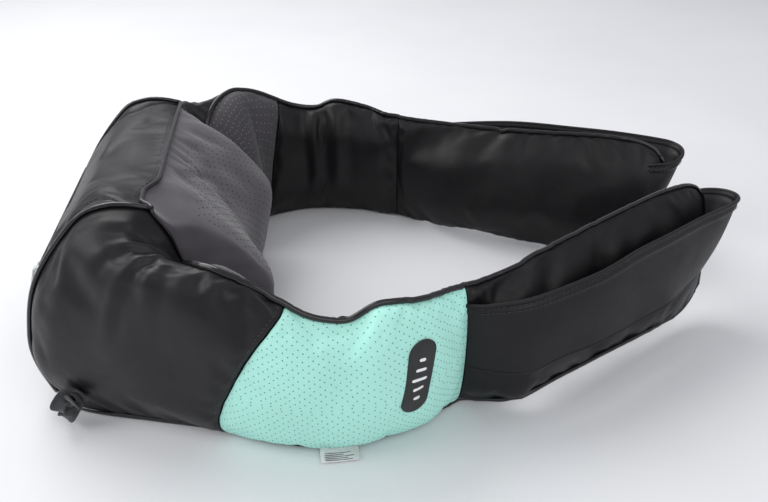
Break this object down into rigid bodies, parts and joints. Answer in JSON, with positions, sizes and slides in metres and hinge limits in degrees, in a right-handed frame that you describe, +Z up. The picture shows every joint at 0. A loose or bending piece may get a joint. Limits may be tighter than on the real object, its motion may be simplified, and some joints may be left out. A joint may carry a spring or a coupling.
{
  "type": "shiatsu neck massager",
  "caption": "Wrap-around neck massager: a padded pillow with geared kneading heads and two hinged arms that end in hand loops.",
  "frame": {"origin": "centre of the bounding box on the plane that the pillow stands on", "axes": "+X from the pillow towards the tips of the arms, +Y to the left arm, +Z up"},
  "size_m": [0.6197, 0.4202, 0.1775],
  "materials": {
    "black_leather": "soft black PU leather, low gloss, fine grain",
    "grey_mesh": "warm grey knitted mesh, matt",
    "mint_leather": "mint PU leather with small perforations",
    "foam": "open-cell polyurethane foam",
    "housing_plastic": "moulded ABS, matt",
    "white_plastic": "moulded ABS, satin",
    "steel": "bright zinc-plated steel",
    "bronze": "sintered bronze",
    "nylon": "natural nylon",
    "head_silicone": "firm silicone over a plastic core",
    "lens": "red tinted polycarbonate",
    "board": "green solder mask",
    "webbing": "black woven webbing",
    "label": "white woven care label",
    "button_rubber": "soft-touch rubber"
  },
  "bodies": {
    "pillow": {"back_cover": "black_leather", "top_cover": "black_leather", "bottom_cover": "black_leather", "mesh_cover": "grey_mesh", "back_foam": "foam", "rear_housing": "housing_plastic", "front_plate": "housing_plastic", "motor_end_cap": "housing_plastic", "motor_can": "steel", "worm_bush": "bronze", "circuit_board": "board", "power_socket": "white_plastic", "zip_tape": "webbing", "carry_loop": "webbing", "left_end_cushion": "black_leather", "left_rear_bush": "bronze", "left_front_bush": "bronze", "left_upper_screw": "steel", "left_lower_screw": "steel", "right_end_cushion": "black_leather", "right_rear_bush": "bronze", "right_front_bush": "bronze", "right_upper_screw": "steel", "right_lower_screw": "steel"},
    "left_shoulder": {"left_shoulder_pad": "black_leather", "left_side_panel": "mint_leather", "control_panel": "housing_plastic"},
    "right_shoulder": {"right_shoulder_pad": "black_leather", "right_side_panel": "mint_leather", "badge": "button_rubber", "care_label": "label"},
    "left_strap": {"left_strap_pad": "black_leather", "left_hand_band": "black_leather"},
    "right_strap": {"right_strap_pad": "black_leather", "right_hand_band": "black_leather"},
    "left_kneader": {"left_worm_wheel": "nylon", "left_axle": "steel", "left_rotor_plate": "white_plastic", "left_large_head_1": "head_silicone", "left_large_head_2": "head_silicone", "left_small_head_1": "head_silicone", "left_small_head_2": "head_silicone", "left_heat_lens": "lens"},
    "right_kneader": {"right_worm_wheel": "nylon", "right_axle": "steel", "right_rotor_plate": "white_plastic", "right_large_head_1": "head_silicone", "right_large_head_2": "head_silicone", "right_small_head_1": "head_silicone", "right_small_head_2": "head_silicone", "right_heat_lens": "lens"},
    "worm": {"worm_shaft": "steel"},
    "zip_slider": {"zip_slider": "steel"},
    "zip_pull": {"zip_pull": "steel"},
    "power_button": {"power_button": "button_rubber"},
    "heat_button": {"heat_button": "button_rubber"},
    "direction_button": {"direction_button": "button_rubber"},
    "speed_button": {"speed_button": "button_rubber"}
  },
  "joints": [
    {"name": "left_shoulder_hinge", "type": "hinge", "parent": "pillow", "child": "left_shoulder", "pos_m": [-0.135, 0.166, 0.075], "axis": [0, 0, 1], "range_deg": [0, 60]},
    {"name": "left_strap_hinge", "type": "hinge", "parent": "left_shoulder", "child": "left_strap", "pos_m": [0.028, 0.154, 0.065], "axis": [0, 0, 1], "range_deg": [0, 35]},
    {"name": "right_shoulder_hinge", "type": "hinge", "parent": "pillow", "child": "right_shoulder", "pos_m": [-0.135, -0.166, 0.075], "axis": [0, 0, -1], "range_deg": [0, 60]},
    {"name": "right_strap_hinge", "type": "hinge", "parent": "right_shoulder", "child": "right_strap", "pos_m": [0.028, -0.154, 0.065], "axis": [0, 0, -1], "range_deg": [0, 35]},
    {"name": "left_kneader_spin", "type": "hinge", "parent": "pillow", "child": "left_kneader", "pos_m": [-0.194, 0.05, 0.08], "axis": [0.9511, 0, 0.309], "continuous": true},
    {"name": "right_kneader_spin", "type": "hinge", "parent": "pillow", "child": "right_kneader", "pos_m": [-0.194, -0.05, 0.08], "axis": [0.9511, 0, 0.309], "continuous": true},
    {"name": "worm_spin", "type": "hinge", "parent": "pillow", "child": "worm", "pos_m": [-0.194, 0, 0.08], "axis": [-0.309, 0, 0.9511], "continuous": true},
    {"name": "zip_slide", "type": "slide", "parent": "pillow", "child": "zip_slider", "axis": [0, 1, 0], "range_m": [0, 0.15]},
    {"name": "zip_pull_hinge", "type": "hinge", "parent": "zip_slider", "child": "zip_pull", "pos_m": [-0.29958, -0.076, 0.11184], "axis": [0, 1, 0], "range_deg": [0, 90]},
    {"name": "power_press", "type": "slide", "parent": "left_shoulder", "child": "power_button", "axis": [-0.2873, -0.9578, 0], "range_m": [0, 0.001], "stiffness_N_per_m": 900, "springref_m": -0.0006},
    {"name": "heat_press", "type": "slide", "parent": "left_shoulder", "child": "heat_button", "axis": [-0.2873, -0.9578, 0], "range_m": [0, 0.001], "stiffness_N_per_m": 900, "springref_m": -0.0006},
    {"name": "direction_press", "type": "slide", "parent": "left_shoulder", "child": "direction_button", "axis": [-0.2873, -0.9578, 0], "range_m": [0, 0.001], "stiffness_N_per_m": 900, "springref_m": -0.0006},
    {"name": "speed_press", "type": "slide", "parent": "left_shoulder", "child": "speed_button", "axis": [-0.2873, -0.9578, 0], "range_m": [0, 0.001], "stiffness_N_per_m": 900, "springref_m": -0.0006}
  ],
  "couplings": [
    {"joint": "right_kneader_spin", "follows": "left_kneader_spin", "ratio": -1},
    {"joint": "worm_spin", "follows": "left_kneader_spin", "ratio": 42}
  ]
}
